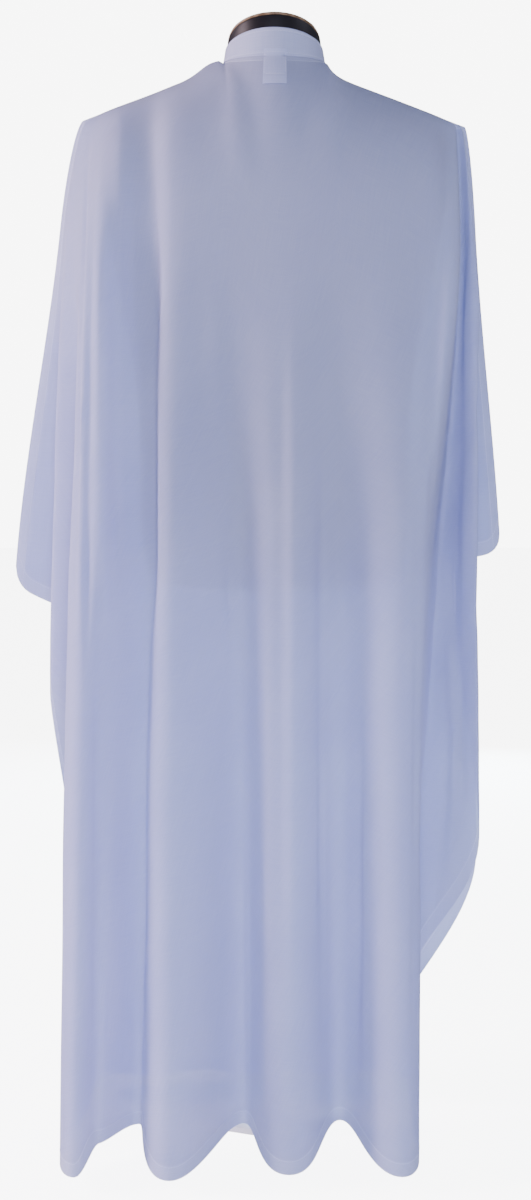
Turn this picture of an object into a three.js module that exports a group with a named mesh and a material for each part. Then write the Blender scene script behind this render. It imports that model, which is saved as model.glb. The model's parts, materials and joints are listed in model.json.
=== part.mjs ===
// A wide, open-sided alb with a stand collar, hanging on a limbless dress form.
// Millimetres, +Z up. The wearer faces +Y, so the back of the garment faces -Y.
// The origin is on the floor, below the centre of the stand's pole.
import * as THREE from "three";

// ---- driving sizes ----
const CLOTH = 1.6; // wall of one layer of cloth
const HEM_CLOTH = 2.4; // wall where the edge is turned up and sewn
const HEM_DEPTH = 18; // depth of the turned edge
const SEAM_GAP = 0.3; // between two sewn pieces
const NECK_RADIUS = 65; // seam line of the collar, in plan
const NECK_SEAM = { back: 1391, side: 1396, front: 1372 }; // heights of that seam
const SHOULDER_X = 243; // tip of the shoulder
const SHOULDER_LEFT = { tip: 1326, fall: 0.37, slack: 11 }; // height of the tip, fall for each mm outwards,
const SHOULDER_RIGHT = { tip: 1318, fall: 0.365, slack: 0 }; // and rise of the loose cloth beside the collar
const ARM_Z = 1190; // height where the cloth has rolled over the shoulders and starts to hang
const TIP_Z = 760; // height of the lowest points of the two wings
const HEM_Z = 20; // height of the hem above the floor
const CORNER = 20; // radius of the rounded corner of a wing
const SLIT_ROWS = 5; // rings of the front panel that the head slit runs through
const SLIT_GAP = 0.8; // the slit hangs closed, its edges this far apart

const COLLAR = { wall: 2, topRadius: 62.4, topZ: 1410, topTilt: 17, frontEase: 0.9, steps: 44 };
const TAB = { width: 28, top: 1400, bottom: 1352, wall: 1, x: 1 };

const FORM_GAP = 0.3; // between the parts of the dress form
const NECK = { radius: 59.8, base: 1387, topZ: 1411, topTilt: 32, topRound: 0.65, cap: 4, capDome: 5 };
const POLE = { radius: 13, bottom: 30, top: 728 };
const FOOT = { arm: 128, width: 24, thickness: 8, turn: 8, hubRadius: 22, hubTop: 29.7 };

const NECK_PATH = (NECK_RADIUS * Math.PI) / 2; // seam from the centre back to the side of the neck
const SEAM_PATH = NECK_PATH + SHOULDER_X - NECK_RADIUS; // and on to the tip of the shoulder
const NECK_SIDE = NECK_PATH / SEAM_PATH;

// ---- folds ----
// One row for each fold of a panel, from the left wing to the right one as seen from behind.
// seam: where it starts on the shoulder and neck seam, from -1 at the left tip to 1 at the right tip.
// arm, tip, hem: its place in plan at ARM_Z, TIP_Z and HEM_Z. heading: the way the cloth runs there in
// plan, in degrees from +X. before, after: how far the cloth swings to either side. edge: height of the
// cut edge below it.
const FOLD_COLUMNS =
  ["name", "seam", "armX", "armY", "tipX", "tipY", "hemX", "hemY", "heading", "before", "after", "edge"];
const foldTable = (rows) => rows.map((row) => Object.fromEntries(row.map((value, i) => [FOLD_COLUMNS[i], value])));

const BACK_FOLDS = foldTable([
  ["wing_left", -1, -274, 0, -335, 0, -335, 0, -90, 0, 40, 738],
  ["tuck_left_outer", -0.992, -264, -16, -192, -23, -190, -26, -90, 40, 40, 660],
  ["drape_left", -0.984, -261, -32, -283, -46, -285, -50, -90, 50, 50, 600],
  ["tuck_left_inner", -0.972, -250, -48, -200, -74, -238, -50, -90, 50, 60, 95],
  ["side_left", -0.955, -238, -66, -253, -102, -268, -129, -90, 80, 60, HEM_Z],
  ["ridge_1", -0.9, -220, -92, -230, -142, -244, -186, 0, 50, 34, HEM_Z],
  ["shelf_1", -0.84, -193, -106, -203, -137, -219, -150, 10, 26, 42, 48],
  ["valley_1", -0.7, -152, -99, -156, -124, -172, -98, 0, 46, 20, 53],
  ["ridge_2", -0.58, -124, -122, -126, -147, -128, -196, 0, 118, 118, HEM_Z],
  ["valley_2", -NECK_SIDE, -54, -124, -44, -114, -38, -98, 0, 80, 50, 54],
  ["ridge_3", 0.03, 14, -125, 15, -146, 18, -178, 0, 130, 125, HEM_Z],
  ["valley_3", NECK_SIDE, 76, -122, 80, -112, 84, -92, 0, 66, 66, 56],
  ["ridge_4", 0.66, 158, -110, 150, -142, 156, -185, 0, 125, 60, HEM_Z],
  ["side_right", 0.94, 224, -82, 189, -112, 182, -118, 90, 60, 60, HEM_Z],
  ["tuck_right_inner", 0.96, 231, -24, 202, -10, 160, -40, 0, 16, 26, 222],
  ["drape_right", 0.978, 248, -38, 257, -48, 272, -60, 90, 60, 50, 427],
  ["tuck_right_outer", 0.99, 248, -13, 230, -18, 200, -20, 90, 30, 40, 757],
  ["wing_right", 1, 258, 0, 295, 0, 295, 0, 90, 40, 0, 779],
]);

const FRONT_FOLDS = foldTable([
  ["wing_left", -1, -274, 0, -335, 0, -335, 0, 90, 0, 40, 738],
  ["tuck_left_outer", -0.992, -262, 17, -196, 24, -192, 28, 90, 40, 40, 670],
  ["drape_left", -0.984, -256, 34, -274, 54, -276, 66, 90, 50, 50, 590],
  ["tuck_left_inner", -0.972, -246, 52, -198, 84, -215, 66, 90, 50, 60, 150],
  ["side_left", -0.955, -231, 72, -244, 118, -256, 126, 90, 70, 60, HEM_Z],
  ["ridge_1", -0.9, -206, 92, -214, 148, -226, 182, 0, 60, 70, HEM_Z],
  ["valley_1", -0.74, -160, 108, -160, 114, -164, 106, 0, 60, 35, 42],
  ["ridge_2", -0.52, -98, 118, -94, 148, -96, 196, 0, 80, 60, HEM_Z],
  ["valley_2", -NECK_SIDE, -50, 121, -34, 118, -34, 100, 0, 55, 50, 46],
  ["ridge_3", 0.04, 22, 121, 26, 148, 30, 190, 0, 60, 60, HEM_Z],
  ["valley_3", NECK_SIDE, 86, 116, 90, 114, 90, 104, 0, 50, 45, 40],
  ["ridge_4", 0.66, 150, 104, 150, 144, 152, 194, 0, 80, 60, HEM_Z],
  ["side_right", 0.93, 212, 80, 198, 118, 200, 122, -90, 70, 60, HEM_Z],
  ["tuck_right_inner", 0.955, 232, 52, 174, 84, 165, 62, -90, 60, 60, 130],
  ["drape_right", 0.975, 247, 34, 262, 52, 283, 62, -90, 60, 50, 366],
  ["tuck_right_outer", 0.99, 246, 17, 186, 22, 184, 26, -90, 40, 40, 740],
  ["wing_right", 1, 258, 0, 295, 0, 295, 0, -90, 40, 0, 779],
]);

// ---- small maths ----
const mix = (a, b, t) => a + (b - a) * t;
const clamp01 = (t) => Math.min(1, Math.max(0, t));
const smooth = (from, to, x) => {
  const t = clamp01((x - from) / (to - from));
  return t * t * (3 - 2 * t);
};

// Cubic from a to b with end slopes slopeA and slopeB.
function hermite(a, slopeA, b, slopeB, t) {
  const t2 = t * t;
  const t3 = t2 * t;
  return (2 * t3 - 3 * t2 + 1) * a + (t3 - 2 * t2 + t) * slopeA + (3 * t2 - 2 * t3) * b + (t3 - t2) * slopeB;
}

// Slope at row i of one column of a table, limited so that the curve never overshoots a row.
function rowSlope(rows, key, i) {
  const before = i > 0 ? rows[i][key] - rows[i - 1][key] : 0;
  const after = i < rows.length - 1 ? rows[i + 1][key] - rows[i][key] : 0;
  if (i === 0 || i === rows.length - 1) return before + after;
  if (before * after <= 0) return 0;
  return (2 * before * after) / (before + after);
}

const alongRows = (rows, key, i, t) =>
  hermite(rows[i][key], rowSlope(rows, key, i), rows[i + 1][key], rowSlope(rows, key, i + 1), t);

// The share in 0..1 at which a rising function reaches a value.
function solve(rising, value) {
  let low = 0;
  let high = 1;
  for (let k = 0; k < 30; k++) {
    const middle = (low + high) / 2;
    if (rising(middle) < value) low = middle;
    else high = middle;
  }
  return (low + high) / 2;
}

// ---- the seams that the cloth hangs from ----

// Height of the collar seam at an angle round the neck from the centre back.
function neckSeamZ(angle) {
  const c = Math.cos(angle);
  if (c > 0) return mix(NECK_SEAM.side, NECK_SEAM.back, c);
  return mix(NECK_SEAM.side, NECK_SEAM.front, c * c);
}

// Height of the shoulder seam. It climbs to the collar, and some loose cloth stands up beside it.
function shoulderZ(x) {
  const shoulder = x < 0 ? SHOULDER_LEFT : SHOULDER_RIGHT;
  const line = (at) => shoulder.tip + shoulder.fall * (SHOULDER_X - at);
  const out = Math.abs(x) - NECK_RADIUS;
  const climb = (NECK_SEAM.side - line(NECK_RADIUS)) * Math.exp(-out / 9);
  return line(Math.abs(x)) + climb + shoulder.slack * Math.exp(-(((out - 16) / 22) ** 2)) * smooth(0, 5, out);
}

// Point of a panel's top edge. share runs from -1 to 1, and side is -1 for the back and 1 for the front.
function seamPoint(share, side) {
  const along = Math.abs(share) * SEAM_PATH;
  if (along > NECK_PATH) {
    const x = Math.sign(share) * (NECK_RADIUS + along - NECK_PATH);
    return { x, y: (side * SEAM_GAP) / 2, z: shoulderZ(x), along };
  }
  const turn = along / NECK_RADIUS;
  const y = side * Math.max(SEAM_GAP / 2, NECK_RADIUS * Math.cos(turn));
  const z = neckSeamZ(side < 0 ? turn : Math.PI - turn);
  return { x: Math.sign(share) * NECK_RADIUS * Math.sin(turn), y, z, along };
}

// ---- drape ----
// From the seam to ARM_Z the cloth rolls over the body: a quarter turn that starts steeper at the neck
// and ends leaning outwards below the tips. w runs from 0 to 1 along it.
const neckLean = (top) => mix(0.6, 0.06, smooth(0.5 * NECK_PATH, 1.35 * NECK_PATH, top.along));
const tipLean = (top) => 0.5 * smooth(0.82 * SEAM_PATH, 0.96 * SEAM_PATH, top.along);
const fallen = (top, w) => mix(1 - Math.cos((w * Math.PI) / 2), w, neckLean(top));
const spread = (top, w) => mix(Math.sin((w * Math.PI) / 2), fallen(top, w), tipLean(top));

const LEVELS = [
  { x: "armX", y: "armY", folded: 0 },
  { x: "tipX", y: "tipY", folded: 0.6 },
  { x: "hemX", y: "hemY", folded: 1 },
];

// Place in plan, at one level, of the cloth a share t of the way from fold i to fold i + 1.
function planPoint(rows, level, i, t) {
  const slope = (k, key, swing) => {
    const heading = THREE.MathUtils.degToRad(rows[k].heading);
    const turned = (key === level.x ? Math.cos(heading) : Math.sin(heading)) * rows[k][swing];
    const inside = k > 0 && k < rows.length - 1;
    const loose = inside ? (rows[k + 1][key] - rows[k - 1][key]) / 2 : rowSlope(rows, key, k);
    return mix(loose, turned, level.folded);
  };
  const at = (key) => hermite(rows[i][key], slope(i, key, "after"), rows[i + 1][key], slope(i + 1, key, "before"), t);
  return { x: at(level.x), y: at(level.y) };
}

// The cloth's outer face below a share t of the way from fold i to fold i + 1: its top point, the height
// of its cut edge, and its place in plan at any height.
function clothLine(panel, i, t) {
  const { rows, side } = panel;
  const top = seamPoint(alongRows(rows, "seam", i, t), side);
  const [arm, tip, hem] = LEVELS.map((level) => planPoint(rows, level, i, t));
  for (const point of [arm, tip, hem]) point.y = side * Math.max(SEAM_GAP / 2, side * point.y);
  const fromWing = Math.min(Math.abs(tip.x - rows[0].tipX), Math.abs(tip.x - rows.at(-1).tipX));
  const round = fromWing < CORNER ? CORNER - Math.sqrt(CORNER ** 2 - (CORNER - fromWing) ** 2) : 0;
  const edge = alongRows(rows, "edge", i, t) + round;
  const armDrop = top.z - ARM_Z;

  const place = (key, z) => {
    if (z >= ARM_Z) {
      const w = solve((share) => fallen(top, share), (top.z - z) / armDrop);
      return mix(top[key], arm[key], spread(top, w));
    }
    const armSlope = (tipLean(top) * (arm[key] - top[key])) / armDrop;
    const upper = (tip[key] - arm[key]) / (ARM_Z - TIP_Z);
    const lower = (hem[key] - tip[key]) / (TIP_Z - HEM_Z);
    const tipSlope = mix(upper, lower, 0.4);
    if (z >= TIP_Z) {
      const span = ARM_Z - TIP_Z;
      return hermite(arm[key], armSlope * span, tip[key], tipSlope * span, (ARM_Z - z) / span);
    }
    const span = TIP_Z - HEM_Z;
    return hermite(tip[key], tipSlope * span, hem[key], lower * span, (TIP_Z - z) / span);
  };
  return { top, edge, armDrop, at: (z) => new THREE.Vector3(place("x", z), place("y", z), z) };
}

// ---- rings ----
// Shares of the roll from seam to ARM_Z, then shares of the fall from ARM_Z to the turned edge.
const ROLL_RINGS = [0, 0.06, 0.18, 0.33, 0.5, 0.68, 0.85];
const FALL_RINGS = [0, 0.12, 0.26, 0.42, 0.6, 0.8];
const WAVE_STEPS = [0, 0.1, 0.26, 0.5, 0.74, 0.9];
const TUCK_STEPS = [0, 0.07, 0.22, 0.5, 0.78, 0.93];

const RINGS = [
  ...ROLL_RINGS.map((w) => ({ height: (line) => line.top.z - line.armDrop * fallen(line.top, w), wall: CLOTH })),
  ...FALL_RINGS.map((share) => ({ height: (line) => mix(ARM_Z, line.edge + HEM_DEPTH + 2, share), wall: CLOTH })),
  { height: (line) => line.edge + HEM_DEPTH + 1, wall: CLOTH },
  { height: (line) => line.edge + HEM_DEPTH, wall: HEM_CLOTH },
  { height: (line) => line.edge, wall: HEM_CLOTH },
];

// The places across a panel where a line of points runs down it.
function panelColumns(panel) {
  const last = panel.rows.length - 1;
  const columns = [];
  for (let i = 0; i < last; i++) {
    const tuck = panel.rows[i].heading !== 0 || panel.rows[i + 1].heading !== 0;
    for (const t of tuck ? TUCK_STEPS : WAVE_STEPS) columns.push({ i, t });
  }
  columns.push({ i: last - 1, t: 1 });
  return columns;
}

// Outward direction of the cloth at one ring of one column, from its near neighbours.
function clothNormal(panel, column, ring) {
  const step = 0.03;
  const last = panel.rows.length - 2;
  const { i, t } = column;
  const near = (share, rise) => {
    let line = clothLine(panel, i, clamp01(share));
    if (share < 0 && i > 0) line = clothLine(panel, i - 1, 1 + share);
    if (share > 1 && i < last) line = clothLine(panel, i + 1, share - 1);
    return line.at(Math.min(line.top.z, ring.height(line) + rise));
  };
  const across = near(t + step, 0).sub(near(t - step, 0));
  const down = near(t, -2).sub(near(t, 2));
  const normal = down.cross(across).multiplyScalar(-panel.side);
  const line = clothLine(panel, i, t);
  const onFold = (i === 0 && t === 0) || (i === last && t === 1);
  const onShoulder = ring === RINGS[0] && line.top.along > NECK_PATH;
  if (onFold || onShoulder) normal.y = 0;
  return normal.normalize();
}

// A closed wall between two grids of points, outer[row][column] and inner[row][column]. A slit after
// column slit.column leaves the first slit.rows rows open there.
function wallGeometry(outer, inner, flip, slit) {
  const rows = outer.length;
  const columns = outer[0].length;
  const positions = [];
  for (const grid of [outer, inner]) for (const row of grid) for (const p of row) positions.push(p.x, p.y, p.z);
  const index = [];
  const at = (face, r, c) => (face * rows + r) * columns + c;
  const quad = (a, b, c, d) => (flip ? index.push(a, c, b, a, d, c) : index.push(a, b, c, a, c, d));
  const open = (r, c) => slit !== undefined && c === slit.column && r < slit.rows;
  const topEdge = (r, c) => quad(at(0, r, c), at(0, r, c + 1), at(1, r, c + 1), at(1, r, c));
  const leftEdge = (r, c) => quad(at(0, r + 1, c), at(0, r, c), at(1, r, c), at(1, r + 1, c));
  const rightEdge = (r, c) => quad(at(0, r, c), at(0, r + 1, c), at(1, r + 1, c), at(1, r, c));
  for (let r = 0; r < rows - 1; r++) {
    leftEdge(r, 0);
    rightEdge(r, columns - 1);
    for (let c = 0; c < columns - 1; c++) {
      if (open(r, c)) {
        rightEdge(r, c);
        leftEdge(r, c + 1);
      } else {
        quad(at(0, r, c), at(0, r + 1, c), at(0, r + 1, c + 1), at(0, r, c + 1));
        quad(at(1, r, c), at(1, r, c + 1), at(1, r + 1, c + 1), at(1, r + 1, c));
      }
    }
  }
  for (let c = 0; c < columns - 1; c++) {
    topEdge(open(0, c) ? slit.rows : 0, c);
    quad(at(0, rows - 1, c + 1), at(0, rows - 1, c), at(1, rows - 1, c), at(1, rows - 1, c + 1));
  }
  const geometry = new THREE.BufferGeometry();
  geometry.setAttribute("position", new THREE.Float32BufferAttribute(positions, 3));
  geometry.setIndex(index);
  return geometry;
}

// A panel of cloth as a wall. The front has a head slit from the neck down its centre.
function panelGeometry(panel) {
  const lay = (ring, column) => {
    const line = clothLine(panel, column.i, column.t);
    const outer = line.at(ring.height(line));
    const inner = outer.clone().addScaledVector(clothNormal(panel, column, ring), -ring.wall);
    inner.y = panel.side * Math.max(SEAM_GAP / 2, panel.side * inner.y);
    return { outer, inner };
  };
  const columns = panelColumns(panel);
  const grid = RINGS.map((ring) => columns.map((column) => lay(ring, column)));
  let slit;
  if (panel.slit) {
    const middle = columns.findIndex((column) => clothLine(panel, column.i, column.t).top.x >= 0);
    slit = { column: middle, rows: SLIT_ROWS };
    for (const row of grid) {
      const here = row[middle];
      const gap = new THREE.Vector3(SLIT_GAP / 2, 0, 0);
      const shifted = (sign) => ({
        outer: here.outer.clone().addScaledVector(gap, sign),
        inner: here.inner.clone().addScaledVector(gap, sign),
      });
      row.splice(middle, 1, shifted(-1), shifted(1));
    }
  }
  const outer = grid.map((row) => row.map((point) => point.outer));
  const inner = grid.map((row) => row.map((point) => point.inner));
  return wallGeometry(outer, inner, panel.side > 0, slit);
}

const BACK = { rows: BACK_FOLDS, side: -1, slit: false };
const FRONT = { rows: FRONT_FOLDS, side: 1, slit: true };

// ---- collar ----
// A stand band round the neck, from one side of the centre front to the other.
function collarPoint(angle, rise, inset) {
  const bottom = neckSeamZ(angle) + SEAM_GAP + (COLLAR.frontEase * (1 - Math.cos(angle))) / 2;
  const top = COLLAR.topZ + COLLAR.topTilt * Math.cos(angle);
  const radius = mix(NECK_RADIUS, COLLAR.topRadius, rise) - inset;
  return new THREE.Vector3(radius * Math.sin(angle), -radius * Math.cos(angle), mix(bottom, top, rise));
}

function collarGeometry() {
  const end = Math.PI - SLIT_GAP / 2 / NECK_RADIUS;
  const band = (inset) =>
    [1, 0.9, 0.5, 0].map((rise) =>
      Array.from({ length: COLLAR.steps + 1 }, (_, k) => collarPoint(mix(-end, end, k / COLLAR.steps), rise, inset)),
    );
  return wallGeometry(band(0), band(COLLAR.wall), false);
}

// ---- neck tab ----
// Point of the back panel's outer face at x and z, near the centre back.
function onBack(x, z) {
  const across = (share) => {
    const column = share * 2;
    return clothLine(BACK, 8 + Math.min(1, Math.floor(column)), column - Math.min(1, Math.floor(column)));
  };
  const share = solve((s) => across(s).at(z).x, x);
  return across(share).at(z);
}

// A small blank tab of folded cloth, sewn over the collar seam at the centre back.
function tabGeometry() {
  const seam = NECK_SEAM.back;
  const heights = [TAB.top, seam + 3, seam - 3, seam - 12, seam - 22, seam - 31, TAB.bottom];
  const across = [-0.5, -0.25, 0, 0.25, 0.5];
  const place = (x, z) => {
    const onCollar = collarPoint(Math.asin(x / NECK_RADIUS), (z - seam) / (COLLAR.topZ + COLLAR.topTilt - seam), 0);
    return z > seam ? onCollar.setX(x).setZ(z) : onBack(x, z);
  };
  const grid = (lift) =>
    heights.map((z) =>
      across.map((share) => {
        const x = TAB.x + share * TAB.width;
        const normal = place(x, z - 3).sub(place(x, z + 3)).cross(new THREE.Vector3(1, 0, 0)).normalize();
        return place(x, z).addScaledVector(normal, lift);
      }),
    );
  return wallGeometry(grid(SEAM_GAP * 1.6 + TAB.wall), grid(SEAM_GAP * 1.6), false);
}

// ---- dress form ----
// Sections of the torso: half width, and depths behind and in front of the pole.
const TORSO = [
  { z: 728, side: 118, back: 56, front: 56 },
  { z: 740, side: 156, back: 74, front: 72 },
  { z: 765, side: 170, back: 82, front: 82 },
  { z: 820, side: 174, back: 88, front: 88 },
  { z: 880, side: 174, back: 88, front: 88 },
  { z: 940, side: 172, back: 84, front: 86 },
  { z: 1000, side: 178, back: 82, front: 86 },
  { z: 1060, side: 188, back: 88, front: 92 },
  { z: 1120, side: 201, back: 96, front: 100 },
  { z: 1180, side: 212, back: 101, front: 100 },
  { z: 1230, side: 222, back: 102, front: 96 },
  { z: 1270, side: 224, back: 94, front: 88 },
  { z: 1292, side: 225, back: 87, front: 80 },
  { z: 1308, side: 215, back: 80, front: 73 },
  { z: 1326, side: 182, back: 74, front: 66 },
  { z: 1344, side: 136, back: 69, front: 58 },
  { z: 1360, side: 90, back: 59, front: 52 },
  { z: 1374, side: 64, back: 54, front: 49 },
  { z: NECK.base - FORM_GAP, side: 56, back: 51, front: 47 },
];
const TORSO_STEPS = 48;

// A closed solid from rings of points, the first at the bottom, each anticlockwise seen from above.
function ringSolid(rings) {
  const count = rings[0].length;
  const positions = rings.flat().flatMap((p) => [p.x, p.y, p.z]);
  const index = [];
  for (let r = 0; r < rings.length - 1; r++)
    for (let k = 0; k < count; k++) {
      const a = r * count + k;
      const b = r * count + ((k + 1) % count);
      index.push(a, b, b + count, a, b + count, a + count);
    }
  for (const [r, turned] of [[0, true], [rings.length - 1, false]]) {
    const centre = new THREE.Vector3();
    for (const p of rings[r]) centre.addScaledVector(p, 1 / count);
    const middle = positions.length / 3;
    positions.push(centre.x, centre.y, centre.z);
    for (let k = 0; k < count; k++) {
      const a = r * count + k;
      const b = r * count + ((k + 1) % count);
      index.push(...(turned ? [middle, b, a] : [middle, a, b]));
    }
  }
  const geometry = new THREE.BufferGeometry();
  geometry.setAttribute("position", new THREE.Float32BufferAttribute(positions, 3));
  geometry.setIndex(index);
  return geometry;
}

const roundRing = (steps, point) => Array.from({ length: steps }, (_, k) => point((2 * Math.PI * k) / steps));

function torsoGeometry() {
  const boxy = (share) => Math.sign(share) * Math.abs(share) ** 0.9;
  return ringSolid(
    TORSO.map((section) =>
      roundRing(TORSO_STEPS, (angle) => {
        const depth = Math.sin(angle) > 0 ? section.front : section.back;
        return new THREE.Vector3(section.side * boxy(Math.cos(angle)), depth * boxy(Math.sin(angle)), section.z);
      }),
    ),
  );
}

// Top of the neck: it slopes down to the front.
function neckTop(angle, radius, rise) {
  const behind = -Math.sin(angle);
  const z = NECK.topZ + (NECK.topTilt * Math.sign(behind) * Math.abs(behind) ** NECK.topRound * radius) / NECK.radius + rise;
  return new THREE.Vector3(radius * Math.cos(angle), radius * Math.sin(angle), z);
}

function neckGeometry() {
  const level = (radius, z) =>
    roundRing(40, (angle) => new THREE.Vector3(radius * Math.cos(angle), radius * Math.sin(angle), z));
  const top = roundRing(40, (angle) => {
    const point = neckTop(angle, NECK.radius, 0);
    return point.setZ(Math.max(NECK.base + 4, point.z));
  });
  return ringSolid([level(NECK.radius - 2, NECK.base), level(NECK.radius, NECK.base + 2), top]);
}

function neckCapGeometry() {
  const ring = (radius, rise) =>
    roundRing(40, (angle) => {
      const point = neckTop(angle, radius, rise);
      return point.setZ(Math.max(NECK.base + 4 + rise, point.z));
    });
  const { radius, cap, capDome } = NECK;
  return ringSolid([
    ring(radius, FORM_GAP),
    ring(radius, cap - 1),
    ring(radius - 1, cap),
    ring(radius * 0.7, cap + capDome * 0.6),
    ring(radius * 0.3, cap + capDome),
  ]);
}

// Three flat arms and a hub that holds the pole.
function footGeometry() {
  const half = FOOT.width / 2;
  const shape = new THREE.Shape();
  const inner = half / Math.sin(Math.PI / 3);
  for (let k = 0; k < 3; k++) {
    const arm = -Math.PI / 2 + (k * 2 * Math.PI) / 3;
    const corner = arm - Math.PI / 3;
    const start = [inner * Math.cos(corner), inner * Math.sin(corner)];
    if (k === 0) shape.moveTo(...start);
    else shape.lineTo(...start);
    const end = FOOT.arm - half;
    for (let step = 0; step <= 8; step++) {
      const turn = arm - Math.PI / 2 + (step * Math.PI) / 8;
      shape.lineTo(
        end * Math.cos(arm) + half * Math.cos(turn),
        end * Math.sin(arm) + half * Math.sin(turn),
      );
    }
  }
  const geometry = new THREE.ExtrudeGeometry(shape, { depth: FOOT.thickness, bevelEnabled: false });
  return geometry.rotateZ(THREE.MathUtils.degToRad(FOOT.turn));
}

const cylinder = (radius, bottom, top, steps) =>
  new THREE.CylinderGeometry(radius, radius, top - bottom, steps)
    .rotateX(Math.PI / 2)
    .translate(0, 0, (top + bottom) / 2);

// ---- the object ----
const cloth = new THREE.MeshStandardMaterial({ color: 0xaeb4d6, roughness: 0.85, metalness: 0 });
const blackGloss = new THREE.MeshStandardMaterial({ color: 0x0c0b10, roughness: 0.35, metalness: 0 });
const tan = new THREE.MeshStandardMaterial({ color: 0x7a5a38, roughness: 0.55, metalness: 0 });
const whitePaint = new THREE.MeshStandardMaterial({ color: 0xe9eaee, roughness: 0.45, metalness: 0 });

const alb = new THREE.Group();
function add(name, geometry, material) {
  const mesh = new THREE.Mesh(geometry, material);
  mesh.name = name;
  alb.add(mesh);
}
add("back", panelGeometry(BACK), cloth);
add("front", panelGeometry(FRONT), cloth);
add("collar", collarGeometry(), cloth);
add("neck_tab", tabGeometry(), cloth);
add("torso", torsoGeometry(), blackGloss);
add("neck", neckGeometry(), blackGloss);
add("neck_cap", neckCapGeometry(), tan);
add("pole", cylinder(POLE.radius, POLE.bottom, POLE.top - FORM_GAP, 32), whitePaint);
add("stand_hub", cylinder(FOOT.hubRadius, FOOT.thickness + FORM_GAP, FOOT.hubTop, 32), whitePaint);
add("stand_foot", footGeometry(), whitePaint);

export default alb;
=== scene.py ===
# %% [markdown]
# # A wide, open-sided alb on a dress form
# This lesson dresses a finished solid model in real-looking cloth. The solid model gives every
# piece its place and size. Here each one gets a fine surface, a material and its sewing. The
# frame is loaded first, and nothing in it is moved.

import json
import math

import bpy
import numpy as np
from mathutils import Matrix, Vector

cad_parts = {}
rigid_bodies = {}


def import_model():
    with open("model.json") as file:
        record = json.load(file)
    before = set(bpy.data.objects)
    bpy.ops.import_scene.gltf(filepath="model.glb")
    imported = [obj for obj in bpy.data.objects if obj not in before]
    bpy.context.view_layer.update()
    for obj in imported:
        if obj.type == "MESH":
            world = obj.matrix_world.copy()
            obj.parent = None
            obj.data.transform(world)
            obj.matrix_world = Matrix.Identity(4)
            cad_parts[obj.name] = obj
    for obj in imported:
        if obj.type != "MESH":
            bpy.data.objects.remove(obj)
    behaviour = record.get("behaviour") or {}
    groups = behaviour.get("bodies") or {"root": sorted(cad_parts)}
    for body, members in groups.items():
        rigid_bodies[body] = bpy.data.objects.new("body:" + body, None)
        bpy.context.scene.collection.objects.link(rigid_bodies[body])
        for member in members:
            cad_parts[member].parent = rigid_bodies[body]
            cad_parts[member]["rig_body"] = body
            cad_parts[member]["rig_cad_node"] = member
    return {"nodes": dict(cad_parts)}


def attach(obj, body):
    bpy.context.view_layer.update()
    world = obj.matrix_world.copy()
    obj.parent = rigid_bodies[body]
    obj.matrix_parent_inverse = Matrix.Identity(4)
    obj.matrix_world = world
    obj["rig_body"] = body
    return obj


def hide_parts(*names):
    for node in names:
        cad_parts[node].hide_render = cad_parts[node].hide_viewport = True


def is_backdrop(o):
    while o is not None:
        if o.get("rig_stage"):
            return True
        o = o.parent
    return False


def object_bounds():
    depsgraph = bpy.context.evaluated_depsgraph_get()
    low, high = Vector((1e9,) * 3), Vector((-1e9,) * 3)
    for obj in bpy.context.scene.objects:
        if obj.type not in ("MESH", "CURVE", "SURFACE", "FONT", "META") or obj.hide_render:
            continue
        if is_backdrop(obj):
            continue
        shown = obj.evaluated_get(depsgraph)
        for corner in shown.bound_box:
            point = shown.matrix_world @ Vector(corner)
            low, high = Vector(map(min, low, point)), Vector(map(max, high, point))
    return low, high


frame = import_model()
cad_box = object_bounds()
print("frame nodes:", ", ".join(sorted(frame["nodes"])))

# %% [markdown]
# ## Sizes
# The cloth is drawn from a few lengths, as a pattern cutter would list them. They are the solid
# model's own lengths, with thinner cloth, and in millimetres, because that is how a garment is
# measured. One factor turns them into Blender's metres at the end.

# %% Driving sizes
MM = 0.001
CLOTH = 0.8  # one layer of cloth
SEAM_GAP = 0.3  # between two sewn pieces
NECK_RADIUS = 65
NECK_SEAM = {"back": 1391, "side": 1396, "front": 1372}
SHOULDER_X = 243
SHOULDER_LEFT = {"tip": 1326, "fall": 0.37, "slack": 11}
SHOULDER_RIGHT = {"tip": 1318, "fall": 0.365, "slack": 0}
ARM_Z, TIP_Z, HEM_Z = 1190, 760, 20  # heights of the three levels that the folds are set at
CORNER = 20  # radius of the rounded corner of a wing
HEM_DEPTH = 18  # cloth turned up and sewn along the lower edge
SIDE_HEM = 11  # and along the free sides
SEAM_ALLOWANCE = 9  # cloth that lies under the neck and shoulder seams
SLIT_REACH = 0.68  # share of the roll over the chest that the head slit runs down
SLIT_GAP = 0.8  # how far the slit stands open

NECK_PATH = NECK_RADIUS * math.pi / 2
SEAM_PATH = NECK_PATH + SHOULDER_X - NECK_RADIUS
NECK_SIDE = NECK_PATH / SEAM_PATH
print(f"neck seam {2 * NECK_PATH:.0f} mm over the back, shoulder seam {SEAM_PATH - NECK_PATH:.0f} mm")

# %% [markdown]
# ## The folds
# A hanging panel is a row of folds. Each row of the table is one fold: where it starts on the
# seam, where it passes three heights in plan, and which way the cloth runs there. A curve
# through the rows gives the whole panel, so a fold can be moved by changing one row. The rows
# are the solid model's, but the bottom of the back's right inner tuck lies a few millimetres
# further out, so that its groove isn't lost behind the fold in front of it.

# %% Fold tables
FOLD_COLUMNS = ("name", "seam", "armX", "armY", "tipX", "tipY", "hemX", "hemY",
                "heading", "before", "after", "edge")

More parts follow.
